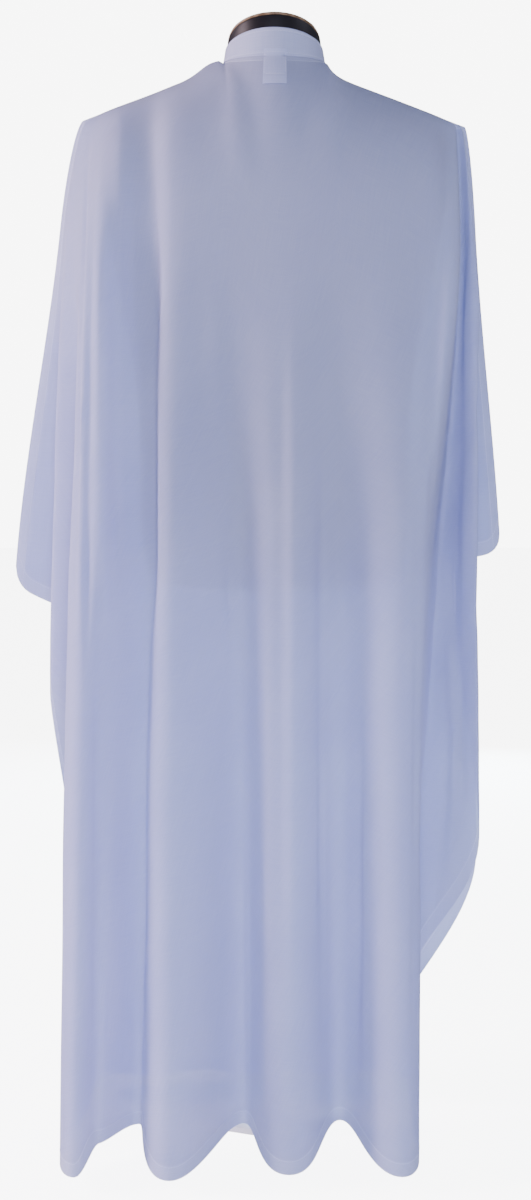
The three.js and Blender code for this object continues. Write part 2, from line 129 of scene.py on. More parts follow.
BACK_FOLDS = [
    ("wing_left", -1, -274, 0, -335, 0, -335, 0, -90, 0, 40, 738),
    ("tuck_left_outer", -0.992, -264, -16, -192, -23, -190, -26, -90, 40, 40, 660),
    ("drape_left", -0.984, -261, -32, -283, -46, -285, -50, -90, 50, 50, 600),
    ("tuck_left_inner", -0.972, -250, -48, -200, -74, -238, -50, -90, 50, 60, 95),
    ("side_left", -0.955, -238, -66, -253, -102, -268, -129, -90, 80, 60, HEM_Z),
    ("ridge_1", -0.9, -220, -92, -230, -142, -244, -186, 0, 50, 34, HEM_Z),
    ("shelf_1", -0.84, -193, -106, -203, -137, -219, -150, 10, 26, 42, 48),
    ("valley_1", -0.7, -152, -99, -156, -124, -172, -98, 0, 46, 20, 53),
    ("ridge_2", -0.58, -124, -122, -126, -147, -128, -196, 0, 118, 118, HEM_Z),
    ("valley_2", -NECK_SIDE, -54, -124, -44, -114, -38, -98, 0, 80, 50, 54),
    ("ridge_3", 0.03, 14, -125, 15, -146, 18, -178, 0, 130, 125, HEM_Z),
    ("valley_3", NECK_SIDE, 76, -122, 80, -112, 84, -92, 0, 66, 66, 56),
    ("ridge_4", 0.66, 158, -110, 150, -142, 156, -185, 0, 125, 60, HEM_Z),
    ("side_right", 0.94, 224, -82, 189, -112, 182, -118, 90, 60, 60, HEM_Z),
    ("tuck_right_inner", 0.96, 234, -24, 212, -10, 164, -40, 0, 16, 26, 222),
    ("drape_right", 0.978, 248, -38, 257, -48, 272, -60, 90, 60, 50, 427),
    ("tuck_right_outer", 0.99, 248, -13, 230, -18, 200, -20, 90, 30, 40, 757),
    ("wing_right", 1, 258, 0, 295, 0, 295, 0, 90, 40, 0, 779),
]
FRONT_FOLDS = [
    ("wing_left", -1, -274, 0, -335, 0, -335, 0, 90, 0, 40, 738),
    ("tuck_left_outer", -0.992, -262, 17, -196, 24, -192, 28, 90, 40, 40, 670),
    ("drape_left", -0.984, -256, 34, -274, 54, -276, 66, 90, 50, 50, 590),
    ("tuck_left_inner", -0.972, -246, 52, -198, 84, -215, 66, 90, 50, 60, 150),
    ("side_left", -0.955, -231, 72, -244, 118, -256, 126, 90, 70, 60, HEM_Z),
    ("ridge_1", -0.9, -206, 92, -214, 148, -226, 182, 0, 60, 70, HEM_Z),
    ("valley_1", -0.74, -160, 108, -160, 114, -164, 106, 0, 60, 35, 42),
    ("ridge_2", -0.52, -98, 118, -94, 148, -96, 196, 0, 80, 60, HEM_Z),
    ("valley_2", -NECK_SIDE, -50, 121, -34, 118, -34, 100, 0, 55, 50, 46),
    ("ridge_3", 0.04, 22, 121, 26, 148, 30, 190, 0, 60, 60, HEM_Z),
    ("valley_3", NECK_SIDE, 86, 116, 90, 114, 90, 104, 0, 50, 45, 40),
    ("ridge_4", 0.66, 150, 104, 150, 144, 152, 194, 0, 80, 60, HEM_Z),
    ("side_right", 0.93, 212, 80, 198, 118, 200, 122, -90, 70, 60, HEM_Z),
    ("tuck_right_inner", 0.955, 232, 52, 174, 84, 165, 62, -90, 60, 60, 130),
    ("drape_right", 0.975, 247, 34, 262, 52, 283, 62, -90, 60, 50, 366),
    ("tuck_right_outer", 0.99, 246, 17, 186, 22, 184, 26, -90, 40, 40, 740),
    ("wing_right", 1, 258, 0, 295, 0, 295, 0, -90, 40, 0, 779),
]


def columns_of(rows, names):
    """A table as arrays, one for each named column."""
    return {name: np.array([row[k] for row in rows], None if k == 0 else float)
            for k, name in enumerate(names)}


PANELS = {
    "back": {"folds": columns_of(BACK_FOLDS, FOLD_COLUMNS), "side": -1, "slit": False},
    "front": {"folds": columns_of(FRONT_FOLDS, FOLD_COLUMNS), "side": 1, "slit": True},
}
print("folds:", {name: len(panel["folds"]["seam"]) for name, panel in PANELS.items()})

# %% [markdown]
# ## Curves through the table
# A cubic between two rows needs a slope at each. The slope is kept small enough that the curve
# never swings past a row, so a fold stays where the table puts it.

# %% Small maths


def mix(a, b, t):
    return a + (b - a) * t


def smooth(start, end, x):
    t = np.clip((x - start) / (end - start), 0, 1)
    return t * t * (3 - 2 * t)


def hermite(a, slope_a, b, slope_b, t):
    """Cubic from a to b with these end slopes."""
    t2, t3 = t * t, t * t * t
    return ((2 * t3 - 3 * t2 + 1) * a + (t3 - 2 * t2 + t) * slope_a
            + (3 * t2 - 2 * t3) * b + (t3 - t2) * slope_b)


def row_slopes(values):
    """Slope at each row, limited so that the curve never overshoots."""
    steps = np.diff(values)
    slopes = np.zeros(len(values))
    slopes[0], slopes[-1] = steps[0], steps[-1]
    before, after = steps[:-1], steps[1:]
    same_way = before * after > 0
    total = np.where(same_way, before + after, 1)
    slopes[1:-1] = np.where(same_way, 2 * before * after / total, 0)
    return slopes


def along_rows(values, fold, share):
    """A column of a table, read at a share of the way from one row to the next."""
    slopes = row_slopes(values)
    return hermite(values[fold], slopes[fold], values[fold + 1], slopes[fold + 1], share)


print("slopes through 0, 1, 4, 2:", row_slopes(np.array([0, 1, 4, 2])))

# %% [markdown]
# ## The seams
# The collar seam is a tilted ring and the shoulder seams run out from it. Both are one path, so
# a single share from -1 to 1 names any place on a panel's top edge. Beside the collar the
# shoulder seam climbs to meet it, and on the left some loose cloth stands up there.

# %% Seam path
COLLAR_CLIMB = 9  # distance from the neck over which the shoulder seam rises to the collar
SLACK = {"start": 5, "crest": 16, "reach": 22}  # where loose cloth stands up, out from the neck


def neck_seam_z(angle):
    """Height of the collar seam, by its angle round the neck from the centre back."""
    c = np.cos(angle)
    return np.where(c > 0, mix(NECK_SEAM["side"], NECK_SEAM["back"], c),
                    mix(NECK_SEAM["side"], NECK_SEAM["front"], c * c))


def shoulder_z(x):
    """Height of the shoulder seam, and how far loose cloth stands up from it."""
    left = x < 0
    tip = np.where(left, SHOULDER_LEFT["tip"], SHOULDER_RIGHT["tip"])
    fall = np.where(left, SHOULDER_LEFT["fall"], SHOULDER_RIGHT["fall"])
    slack = np.where(left, SHOULDER_LEFT["slack"], SHOULDER_RIGHT["slack"])
    out = np.abs(x) - NECK_RADIUS
    line = tip + fall * (SHOULDER_X - np.abs(x))
    at_neck = tip + fall * (SHOULDER_X - NECK_RADIUS)
    climb = (NECK_SEAM["side"] - at_neck) * np.exp(-np.maximum(out, 0) / COLLAR_CLIMB)
    crest = np.exp(-(((out - SLACK["crest"]) / SLACK["reach"]) ** 2))
    bulge = slack * crest * smooth(0, SLACK["start"], out)
    return line + climb, bulge


def seam_points(share, side):
    """Points of a panel's top edge without its loose cloth, the rise of that cloth, and the
    distance along the seam from its centre."""
    along = np.abs(share) * SEAM_PATH
    turn = np.minimum(along, NECK_PATH) / NECK_RADIUS
    on_neck = along <= NECK_PATH
    out_x = np.sign(share) * (NECK_RADIUS + along - NECK_PATH)
    x = np.where(on_neck, np.sign(share) * NECK_RADIUS * np.sin(turn), out_x)
    y = side * np.maximum(SEAM_GAP / 2, np.where(on_neck, NECK_RADIUS * np.cos(turn), 0))
    angle = turn if side < 0 else math.pi - turn
    shoulder, bulge = shoulder_z(out_x)
    z = np.where(on_neck, neck_seam_z(angle), shoulder)
    return x, y, z, np.where(on_neck, 0, bulge), along


print("seam height at the left tip, the collar and the right tip:",
      seam_points(np.array([-1, 0, 1]), -1)[2].round())

# %% [markdown]
# ## From fold table to cloth
# The rows of a table are joined by one curve at each of three heights. High up the cloth is
# stretched smoothly over the shoulder. Lower down each fold swings into the next along its
# heading, so each level also says how far the headings count there.

# %% Folds in plan
LEVELS = (("armX", "armY", 0), ("tipX", "tipY", 0.6), ("hemX", "hemY", 1))  # and how folded


def plan_at(folds, level, fold, share):
    """Place in plan of the cloth between two folds, at one of the three levels."""
    key_x, key_y, folded = level
    heading = np.radians(folds["heading"])
    place = []
    for key, turn in ((key_x, np.cos(heading)), (key_y, np.sin(heading))):
        values = folds[key]
        loose = row_slopes(values)
        loose[1:-1] = (values[2:] - values[:-2]) / 2
        leaving = mix(loose, turn * folds["after"], folded)
        arriving = mix(loose, turn * folds["before"], folded)
        place.append(hermite(values[fold], leaving[fold], values[fold + 1], arriving[fold + 1], share))
    return place


def widths_at(folds, fold):
    """Width of the cloth from one fold to the next, at each of the three levels."""
    probe = np.linspace(0, 1, 13)
    widths = []
    for level in LEVELS:
        x, y = plan_at(folds, level, np.full(probe.shape, fold), probe)
        widths.append(np.hypot(np.diff(x), np.diff(y)).sum())
    return widths


for name, panel in PANELS.items():
    stretches = range(len(panel["folds"]["seam"]) - 1)
    wide = np.sum([widths_at(panel["folds"], fold) for fold in stretches], axis=0)
    print(f"{name}: {wide.round()} mm of cloth at the three heights")

# %% [markdown]
# ## Columns of the mesh
# A column of points runs down the cloth from the seam to the hem. A wide stretch gets more of
# them than a narrow one, so that small creases find points to lie on everywhere.

# %% Columns
COLUMN_STEP = 5.6  # largest width of one column of the mesh
FEWEST_COLUMNS = 7  # from one fold to the next


def panel_columns(folds):
    """Fold number and share of every column of the mesh."""
    fold_numbers, shares = [], []
    last = len(folds["seam"]) - 2
    for k in range(last + 1):
        count = max(FEWEST_COLUMNS, round(max(widths_at(folds, k)) / COLUMN_STEP))
        steps = np.arange(count + (k == last)) / count
        fold_numbers.append(np.full(steps.shape, k))
        shares.append(steps)
    return np.concatenate(fold_numbers), np.concatenate(shares)


for name, panel in PANELS.items():
    panel["fold"], panel["share"] = panel_columns(panel["folds"])
    print(f"{name}: {len(panel['fold'])} columns")

# %% [markdown]
# ## Over the shoulders
# Cloth that hangs from a shoulder rolls over the body first. So the first rows make a quarter
# turn from the seam down to arm height. By the neck the form slopes, and there the cloth runs
# straighter.

# %% Quarter turn
ROLL_ROWS = 34
STRAIGHT = {"neck": 0.6, "shoulder": 0.06, "tip": 0.5}  # share of a straight slope in the turn


def leans(along):
    """How straight the cloth runs down from the seam, and how straight it runs out."""
    by_neck = smooth(0.3 * NECK_PATH, 1.05 * NECK_PATH, along)
    by_tip = smooth(0.82 * SEAM_PATH, 0.96 * SEAM_PATH, along)
    return mix(STRAIGHT["neck"], STRAIGHT["shoulder"], by_neck), STRAIGHT["tip"] * by_tip


def roll_rows(top, bulge, arm, down_lean, out_lean):
    """Rows from the seam to arm height. The loose cloth by the collar settles soon."""
    for w in np.linspace(0, 1, ROLL_ROWS, endpoint=False):
        fallen = mix(1 - np.cos(w * math.pi / 2), w, down_lean)
        spread = mix(np.sin(w * math.pi / 2), fallen, out_lean)
        z = top[2] - (top[2] - ARM_Z) * fallen + bulge * (1 - w) ** 4
        yield np.stack([mix(top[0], arm[0], spread), mix(top[1], arm[1], spread), z], axis=-1)


print("the turn takes", ROLL_ROWS, "rows")

# %% [markdown]
# ## The long fall and the hem
# Below arm height the cloth falls nearly straight, through the three heights of the table. The
# rows of the turned hem lie close together, because its sewn edge is crisp. Where the lower
# edge climbs, the hem is deeper when it is measured straight down.

# %% Fall and lower edge
FALL_ROWS = 70
HEM_SEWN = 0.9  # the row that is sewn, as a share of the hem's depth up from the edge
HEM_SHARES = (1.14, 1.04, 1.0, 0.97, HEM_SEWN, 0.86, 0.82, 0.6, 0.35, 0.12, 0.04, 0)  # every row
DEEPEST_HEM = 1.7  # the most that a climbing edge deepens the hem
TIP_EASE = 0.4  # how far the bend at the middle height leans to the slope below it


def lower_edge(folds, fold, share, tip_x, tip_y):
    """Height of the lower edge of each column, rounded at the wing corners, and depth of its hem."""
    from_wing = np.minimum(np.abs(tip_x - folds["tipX"][0]), np.abs(tip_x - folds["tipX"][-1]))
    into_corner = np.maximum(CORNER - from_wing, 0)
    edge = along_rows(folds["edge"], fold, share) + CORNER - np.sqrt(CORNER**2 - into_corner**2)
    run = np.hypot(np.gradient(tip_x), np.gradient(tip_y)) + 0.5
    return edge, HEM_DEPTH * np.minimum(DEEPEST_HEM, np.hypot(1, np.gradient(edge) / run))


def fall_rows(top, plans, edge, hem_depth, out_lean):
    """Rows from arm height to the lower edge."""
    high, low = ARM_Z - TIP_Z, TIP_Z - HEM_Z
    fall_to = edge + hem_depth * HEM_SHARES[0]
    heights = [mix(ARM_Z, fall_to, s) for s in np.linspace(0, 1, FALL_ROWS, endpoint=False)]
    heights += [edge + hem_depth * s for s in HEM_SHARES]
    for z in heights:
        place = []
        for seam, arm, tip, hem in zip(top, *plans):
            arm_slope = out_lean * (arm - seam) / (top[2] - ARM_Z)
            upper, lower = (tip - arm) / high, (hem - tip) / low
            tip_slope = mix(upper, lower, TIP_EASE)
            above = hermite(arm, arm_slope * high, tip, tip_slope * high, (ARM_Z - z) / high)
            below = hermite(tip, tip_slope * low, hem, lower * low, (TIP_Z - z) / low)
            place.append(np.where(z >= TIP_Z, above, below))
        yield np.stack([*place, z], axis=-1)


print("the fall takes", FALL_ROWS, "rows and the hem", len(HEM_SHARES))

# %% [markdown]
# The rows together are one grid of points for each panel: its outer face. Back and front never
# cross the plane of the shoulder seams, so they never run into each other.

# %% Lay the outer face of both panels


def one_side(y, side):
    """Keeps depths on their own side of the shoulder seams."""
    return side * np.maximum(SEAM_GAP / 2, side * y)


def lay_panel(panel):
    """The outer face of a panel in millimetres, row by row from the seam down."""
    folds, side, fold, share = (panel[key] for key in ("folds", "side", "fold", "share"))
    *top, bulge, along = seam_points(along_rows(folds["seam"], fold, share), side)
    plans = [plan_at(folds, level, fold, share) for level in LEVELS]
    for plan in plans:
        plan[1] = one_side(plan[1], side)
    edge, hem_depth = lower_edge(folds, fold, share, *plans[1])
    down_lean, out_lean = leans(along)
    rows = [*roll_rows(top, bulge, plans[0], down_lean, out_lean),
            *fall_rows(top, plans, edge, hem_depth, out_lean)]
    return {"points": np.stack(rows), "u": fold + share, "edge": edge, "hem_depth": hem_depth}


for name, panel in PANELS.items():
    panel.update(lay_panel(panel))
    print(name, "grid:", panel["points"].shape[:2])

# %% [markdown]
# ## Measuring on the cloth
# Creases, hems and stitches are placed by distance on the cloth, not in space. So every point
# gets two lengths: how far across the panel it is and how far down. The same two lengths become
# the UV map, which keeps the weave running with the threads round every fold.

# %% Lengths and normals on a grid


def lengths_on(points):
    """Level distance across from the first column, and distance down from the first row."""
    across = np.zeros(points.shape[:2])
    across[:, 1:] = np.cumsum(np.linalg.norm(np.diff(points, axis=1)[..., :2], axis=2), axis=1)
    down = np.zeros(points.shape[:2])
    down[1:] = np.cumsum(np.linalg.norm(np.diff(points, axis=0), axis=2), axis=0)
    return across, down


def normals_on(points, side):
    """Outward direction of the cloth at every point of a grid."""
    across = np.gradient(points, axis=1)
    down = np.gradient(points, axis=0)
    normal = np.cross(down, across) * -side
    return normal / np.maximum(np.linalg.norm(normal, axis=2, keepdims=True), 1e-9)


for panel in PANELS.values():
    panel["across"], panel["down"] = lengths_on(panel["points"])
    widest, longest = panel["across"].max(), panel["down"].max()
    print(f"cut about {widest:.0f} mm wide and {longest:.0f} mm long")

# %% [markdown]
# ## Creases
# Between the big folds lie small creases: fine ones that fan from the shoulder tips, one deep
# pleat down the left of the back, and long soft ones. Each is one row: its place across the
# garment at its two ends, the heights of those ends, how wide it is to the left and to the
# right, and its depth. A minus depth is a trough and a plus depth a ridge. One side narrower
# than the other makes a pleat that drops gently and then turns up steeply. No two are alike,
# as in real cloth.

# %% Creases of the back
CREASE_COLUMNS = ("name", "x", "to_x", "top", "bottom", "left", "right", "depth")
BACK_CREASES = [
    ("shoulder_fan_1", -233, -247, 1322, 640, 4.5, 4, -4.4),
    ("shoulder_fan_2", -226, -239, 1320, 640, 4, 4.5, 3.6),
    ("shoulder_fan_3", -218, -230, 1318, 560, 5, 4, -3.8),
    ("shoulder_fan_4", -210, -209, 1300, 420, 7, 8, 2.4),
    ("shoulder_fan_5", -197, -190, 1290, 620, 9, 7, -2.4),
    ("shoulder_square", -218, -210, 1322, 680, 14, 22, 8.0),
    ("shoulder_pleat", -147, -150, 1300, 480, 34, 11, -5.5),
    ("pleat_crest", -126, -124, 1200, 430, 12, 22, 2.6),
    ("neck_fill", -50, -42, 1402, 1220, 16, 18, 1.4),
    ("wedge", -178, -154, 1290, 620, 36, 13, -10.0),
    ("pleat_foot", -160, -168, 540, 60, 22, 10, -3.0),
    ("flank_left", -212, -222, 800, 60, 6, 8, -2.4),
    ("back_left", -72, -66, 1180, 560, 16, 12, 1.8),
    ("seat_centre", 10, 6, 1140, 160, 16, 8, -4.0),
    ("seat_light", 22, 26, 1000, 60, 9, 14, 2.0),
    ("thin_line_left", -36, -32, 480, 30, 3.5, 3.5, 1.7),
    ("hip_right", 58, 60, 1040, 100, 10, 7, -3.6),
    ("hip_light", 74, 80, 800, 120, 8, 10, 1.8),
    ("thin_line_right", 108, 113, 720, 40, 3.2, 3.2, 1.6),
    ("loin_right", 108, 102, 620, 40, 12, 6, -3.6),
    ("under_arm_1", 176, 168, 900, 60, 6, 9, -2.4),
    ("shoulder_right_1", 196, 176, 1240, 640, 9, 7, 2.0),
    ("shoulder_right_2", 214, 186, 1270, 760, 8, 6, -2.2),
]
BACK_DRAPE_CREASES = [
    ("streak_1", 226, 232, 700, 400, 6, 5, 2.0),
    ("streak_2", 238, 240, 640, 410, 5, 5, -2.2),
    ("wing_swell", 248, 244, 1290, 640, 10, 20, 5.0),
    ("strip_inside", 226, 210, 590, 300, 14, 7, -5.0),
]
print("creases on the back:", len(BACK_CREASES), "and", len(BACK_DRAPE_CREASES), "on its side drape")

# %% [markdown]
# The front gets creases of the same kinds, with a pleat down its left chest as well.

# %% Creases of the front
FRONT_CREASES = [
    ("shoulder_fan_1", -232, -243, 1318, 780, 5, 5, -2.4),
    ("shoulder_fan_2", -222, -230, 1312, 700, 6, 5, 2.2),
    ("shoulder_fan_3", -208, -205, 1300, 560, 8, 7, -2.6),
    ("chest_left", -120, -134, 1240, 480, 30, 16, -5.0),
    ("chest_left_crest", -98, -104, 1200, 520, 16, 20, 2.6),
    ("chest_centre", 6, 12, 1060, 380, 15, 11, -2.4),
    ("lap_left", -40, -46, 820, 120, 10, 8, 1.8),
    ("chest_right", 92, 88, 1080, 300, 10, 13, -2.6),
    ("lap_right", 116, 124, 760, 80, 7, 9, 1.8),
    ("thin_line", 58, 64, 620, 50, 3.5, 3.5, 1.5),
    ("flank_left", -190, -204, 700, 80, 7, 8, -2.2),
    ("shoulder_right_1", 206, 192, 1290, 700, 8, 7, -2.6),
    ("shoulder_right_2", 192, 182, 1250, 560, 6, 5, 2.0),
]
FRONT_DRAPE_CREASES = [
    ("streak_1", 228, 236, 720, 380, 7, 6, 2.0),
    ("streak_2", 242, 244, 600, 420, 5, 6, -2.0),
]
print("creases on the front:", len(FRONT_CREASES), "and", len(FRONT_DRAPE_CREASES), "on its side drape")

# %% [markdown]
# ## Raising the creases
# A crease moves the points of the cloth along their normals, by a soft bell across and a fade
# at both ends. Its depth wavers on the way down. A few slow waves are added all over, because
# hanging cloth is never quite even. Each table goes with the first and the last fold that its
# creases may lie on, because a folded panel passes the same place more than once.

# %% Raise and sink the creases
SETTLE = 0.5  # height of the slow unevenness of hanging cloth
WAVER = {"share": 0.25, "step": 47}  # how much a crease's depth wavers, and over what length
FREE_EDGE = 30  # a panel's free sides stay smooth over this width
MAIN, DRAPE = ("side_left", "side_right"), ("tuck_right_inner", "drape_right")
CREASED = {
    "back": ((BACK_CREASES, *MAIN), (BACK_DRAPE_CREASES, *DRAPE)),
    "front": ((FRONT_CREASES, *MAIN), (FRONT_DRAPE_CREASES, *DRAPE)),
}


def crease_heights(panel, creases, first, last):
    """How far each point moves outwards. The creases lie between the first and the last fold."""
    points, across, u = panel["points"], panel["across"], panel["u"]
    names = list(panel["folds"]["name"])
    seen = (u >= names.index(first)) & (u <= names.index(last))
    moved = np.zeros(points.shape[:2])
    for crease in creases:
        row = dict(zip(CREASE_COLUMNS, crease))
        length = row["top"] - row["bottom"]
        for r in range(points.shape[0]):
            order = np.argsort(points[r, seen, 0])
            x, z, s = (grid[r, seen][order] for grid in (points[..., 0], points[..., 2], across))
            t = (row["top"] - np.interp(row["x"], x, z)) / length
            if 0 < t < 1:
                centre = np.interp(mix(row["x"], row["to_x"], t), x, s)
                fade = smooth(0, 0.3, t) * (1 - smooth(0.7, 1, t))
                uneven = 1 + WAVER["share"] * np.sin(t * length / WAVER["step"] + row["x"])
                offset = across[r] - centre
                offset = offset / np.where(offset < 0, row["left"], row["right"])
                moved[r] += row["depth"] * fade * uneven * np.exp(-(offset**2))
    return moved


def settled(panel):
    """Slow unevenness, from a few crossing waves."""
    s, d = panel["across"], panel["down"]
    waves = (np.sin(s / 23 + 1.3 * np.sin(d / 190)) * np.sin(d / 131 + 0.6)
             + 0.8 * np.sin(s / 37 - d / 210 + 2.0) + 0.5 * np.sin(s / 14 + d / 260) * np.sin(d / 83))
    return SETTLE * waves * smooth(20, 160, d)


def from_sides(panel):
    """Distance to the nearer free side."""
    return np.minimum(panel["across"], panel["across"][:, -1:] - panel["across"])


for name, panel in PANELS.items():
    lift = settled(panel) + sum(crease_heights(panel, *table) for table in CREASED[name])
    free = smooth(0, FREE_EDGE, from_sides(panel))
    normal = normals_on(panel["points"], panel["side"])
    panel["points"] = panel["points"] + normal * (lift * free)[..., None]
    print(f"{name}: creases from {lift.min():.1f} to {lift.max():.1f} mm")

# %% [markdown]
# ## Hems
# The lower edge and both free sides are turned over once and sewn, and a narrow allowance lies
# under the seams, so two layers lie there. The wall doubles, and the number of layers is kept
# as an attribute, because two layers of sheer cloth are less see-through than one.

# %% Layers and inner face
EDGE_ROUND = {"reach": 1.6, "thin": 0.45}  # the wall thins to this share over the last of its edge


def layer_count(panel):
    """1 on plain cloth and 2 where the edge is turned over or a seam allowance lies."""
    from_edge = (panel["points"][..., 2] - panel["edge"]) / panel["hem_depth"]
    from_side = from_sides(panel) / SIDE_HEM
    from_seam = panel["down"] / SEAM_ALLOWANCE
    plain = smooth(0.97, 1.03, from_edge) * smooth(0.9, 1.1, from_side) * smooth(0.85, 1.15, from_seam)
    return 2 - plain


def inner_face(panel):
    """The outer face moved inwards by the thickness of its layers, less at the edges."""
    points, side, down = panel["points"], panel["side"], panel["down"]
    to_edge = np.minimum(down[-1] - down, from_sides(panel))
    rounded = mix(EDGE_ROUND["thin"], 1, smooth(0, EDGE_ROUND["reach"], to_edge))
    inner = points - normals_on(points, side) * (CLOTH * panel["layers"] * rounded)[..., None]
    inner[..., 1] = one_side(inner[..., 1], side)
    return inner


for name, panel in PANELS.items():
    panel["points"][..., 1] = one_side(panel["points"][..., 1], panel["side"])
    panel["layers"] = layer_count(panel)
    panel["inner"] = inner_face(panel)
    print(name, "hem rows:", int((panel["layers"][:, panel["layers"].shape[1] // 2] > 1.5).sum()))

# %% [markdown]
# ## From grids to a mesh
# A sheet of cloth still has two faces and an edge, so each panel becomes one closed shell. The
# front's slit is a place where the two neighbouring columns aren't joined.

# %% Build a closed shell


def shell_mesh(name, outer, inner, flip, layers, uv, slit=None):
    """A closed shell between two grids. slit is (column, rows): that gap stays open to that row."""
    rows, columns = outer.shape[:2]
    number = np.arange(rows * columns).reshape(rows, columns)
    far = number + rows * columns
    faces = []

    def add(a, b, c, d):
        quads = np.stack([a, b, c, d], axis=-1).reshape(-1, 4)
        faces.append(quads[:, ::-1] if flip else quads)

    joined = np.ones((rows - 1, columns - 1), bool)
    if slit:
        joined[: slit[1], slit[0]] = False
    corner = lambda grid, r, c: grid[r: rows - 1 + r, c: columns - 1 + c][joined]
    add(corner(number, 0, 0), corner(number, 1, 0), corner(number, 1, 1), corner(number, 0, 1))
    add(corner(far, 0, 0), corner(far, 0, 1), corner(far, 1, 1), corner(far, 1, 0))
    left, right = [(rows - 1, 0)], [(rows - 1, columns - 1)]
    if slit:
        right.append((slit[1], slit[0]))
        left.append((slit[1], slit[0] + 1))
    for stop, c in left:
        add(number[1: stop + 1, c], number[:stop, c], far[:stop, c], far[1: stop + 1, c])
    for stop, c in right:
        add(number[:stop, c], number[1: stop + 1, c], far[1: stop + 1, c], far[:stop, c])
    top = np.where(joined[0], 0, slit[1] if slit else 0)
    c = np.arange(columns - 1)
    add(number[top, c], number[top, c + 1], far[top, c + 1], far[top, c])
    add(number[-1, 1:], number[-1, :-1], far[-1, :-1], far[-1, 1:])

    mesh = bpy.data.meshes.new(name)
    points = np.concatenate([outer.reshape(-1, 3), inner.reshape(-1, 3)]) * MM
    quads = np.concatenate(faces)
    mesh.from_pydata(points.tolist(), [], quads.tolist())
    mesh.attributes.new("layers", "FLOAT", "POINT").data.foreach_set("value", np.tile(layers.ravel(), 2))
    flat = np.tile(uv.reshape(-1, 2), (2, 1)) * MM
    mesh.uv_layers.new(name="cloth").data.foreach_set("uv", flat[quads.ravel()].ravel())
    mesh.validate()
    piece = bpy.data.objects.new(name, mesh)
    bpy.context.collection.objects.link(piece)
    return piece


def only(piece):
    """Makes one piece the selected and active one, for an operator."""
    bpy.ops.object.select_all(action="DESELECT")
    piece.select_set(True)
    bpy.context.view_layer.objects.active = piece


def soft_shading(piece, angle=50):
    only(piece)
    bpy.ops.object.shade_smooth_by_angle(angle=math.radians(angle))


for name, panel in PANELS.items():
    rows, columns = panel["points"].shape[:2]
    print(f"{name}: two faces of {(rows - 1) * (columns - 1)} quads each")

# %% [markdown]
# The slit in the front is cut by doubling one column of the grid and moving the two apart. Each
# panel then rides on the model's one body and takes the place of its plain solid.

# %% Make the two panels


def panel_piece(name):
    panel = PANELS[name]
    grids = {key: panel[key] for key in ("points", "inner", "layers", "across", "down")}
    slit = None
    if panel["slit"]:
        middle = int((grids["points"][0, :, 0] < 0).sum())
        slit = (middle, round(SLIT_REACH * ROLL_ROWS))
        for key, grid in grids.items():
            grids[key] = np.insert(grid, middle, grid[:, middle], axis=1)
        for key in ("points", "inner"):
            grids[key][:, middle, 0] -= SLIT_GAP / 2
            grids[key][:, middle + 1, 0] += SLIT_GAP / 2
    uv = np.stack([grids["across"], grids["down"]], axis=-1)
    piece = shell_mesh("cloth_" + name, grids["points"], grids["inner"], panel["side"] > 0,
                       grids["layers"], uv, slit)
    soft_shading(piece)
    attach(piece, "root")
    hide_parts(name)
    print(piece.name, len(piece.data.polygons) * 2, "triangles")
    return piece


back = panel_piece("back")
front = panel_piece("front")

# %% [markdown]
# ## The stand collar
# The collar is a band of three layers, the middle one a stiffener, cut on a slight curve so that
# it leans in. It is stitched down just above the seam and again below its folded top edge. The
# thread pulls a shallow groove into it, and between the rows it ripples a little.

# %% Collar band
COLLAR = {"wall": 2, "topRadius": 62.4, "topZ": 1410, "topTilt": 17, "frontEase": 0.9, "layers": 3.0}
COLLAR_COLUMNS, COLLAR_ROWS = 220, 40
COLLAR_HEIGHT = 32
COLLAR_SEWN = (4, 28.5)  # the two sewn rows, measured down from the top edge
SEWN_GROOVE = {"depth": 0.35, "reach": 1.1}  # how deep and how wide the thread pulls it in
COLLAR_RIPPLE = 0.25  # height of the ripples between the rows
COLLAR_END = math.pi - SLIT_GAP / 2 / NECK_RADIUS  # angle of the collar's open ends at the front


def collar_points(angle, rise, inset):
    """Points at a share of the collar's height, and so far in from its outer cone."""
    bottom = neck_seam_z(angle) + SEAM_GAP + COLLAR["frontEase"] * (1 - np.cos(angle)) / 2
    top = COLLAR["topZ"] + COLLAR["topTilt"] * np.cos(angle)
    radius = mix(NECK_RADIUS, COLLAR["topRadius"], rise) - inset
    return np.stack([radius * np.sin(angle), -radius * np.cos(angle), mix(bottom, top, rise)], axis=-1)


def collar_face_points(angle, below, inner=False):
    """The collar's outer or inner face, below its folded top edge, with the pull of its two sewn rows."""
    fold = np.sqrt(np.clip(1 - (1 - np.minimum(below, 1)) ** 2, 0, 1))
    pull = sum(SEWN_GROOVE["depth"] * np.exp(-(((below - row) / SEWN_GROOVE["reach"]) ** 2))
               for row in COLLAR_SEWN)
    ripple = COLLAR_RIPPLE * np.sin(angle * 9 + 2 * np.sin(angle * 2)) * smooth(2, 12, below)
    rounded = COLLAR["wall"] / 2 * (1 - fold)
    inset = COLLAR["wall"] - rounded - ripple * 0.3 if inner else rounded + pull - ripple * 0.6
    return collar_points(angle, 1 - below / COLLAR_HEIGHT, inset)


def collar_piece():
    below, angle = np.meshgrid(np.linspace(0, COLLAR_HEIGHT, COLLAR_ROWS),
                               np.linspace(-COLLAR_END, COLLAR_END, COLLAR_COLUMNS), indexing="ij")
    outer = collar_face_points(angle, below)
    inner = collar_face_points(angle, below, inner=True)
    uv = np.stack([angle * NECK_RADIUS, below], axis=-1)
    piece = shell_mesh("cloth_collar", outer, inner, False, np.full(angle.shape, COLLAR["layers"]), uv)
    soft_shading(piece)
    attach(piece, "root")
    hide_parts("collar")
    print(piece.name, f"{2 * COLLAR_END * NECK_RADIUS:.0f} mm round")
    return piece, outer


collar, collar_face = collar_piece()

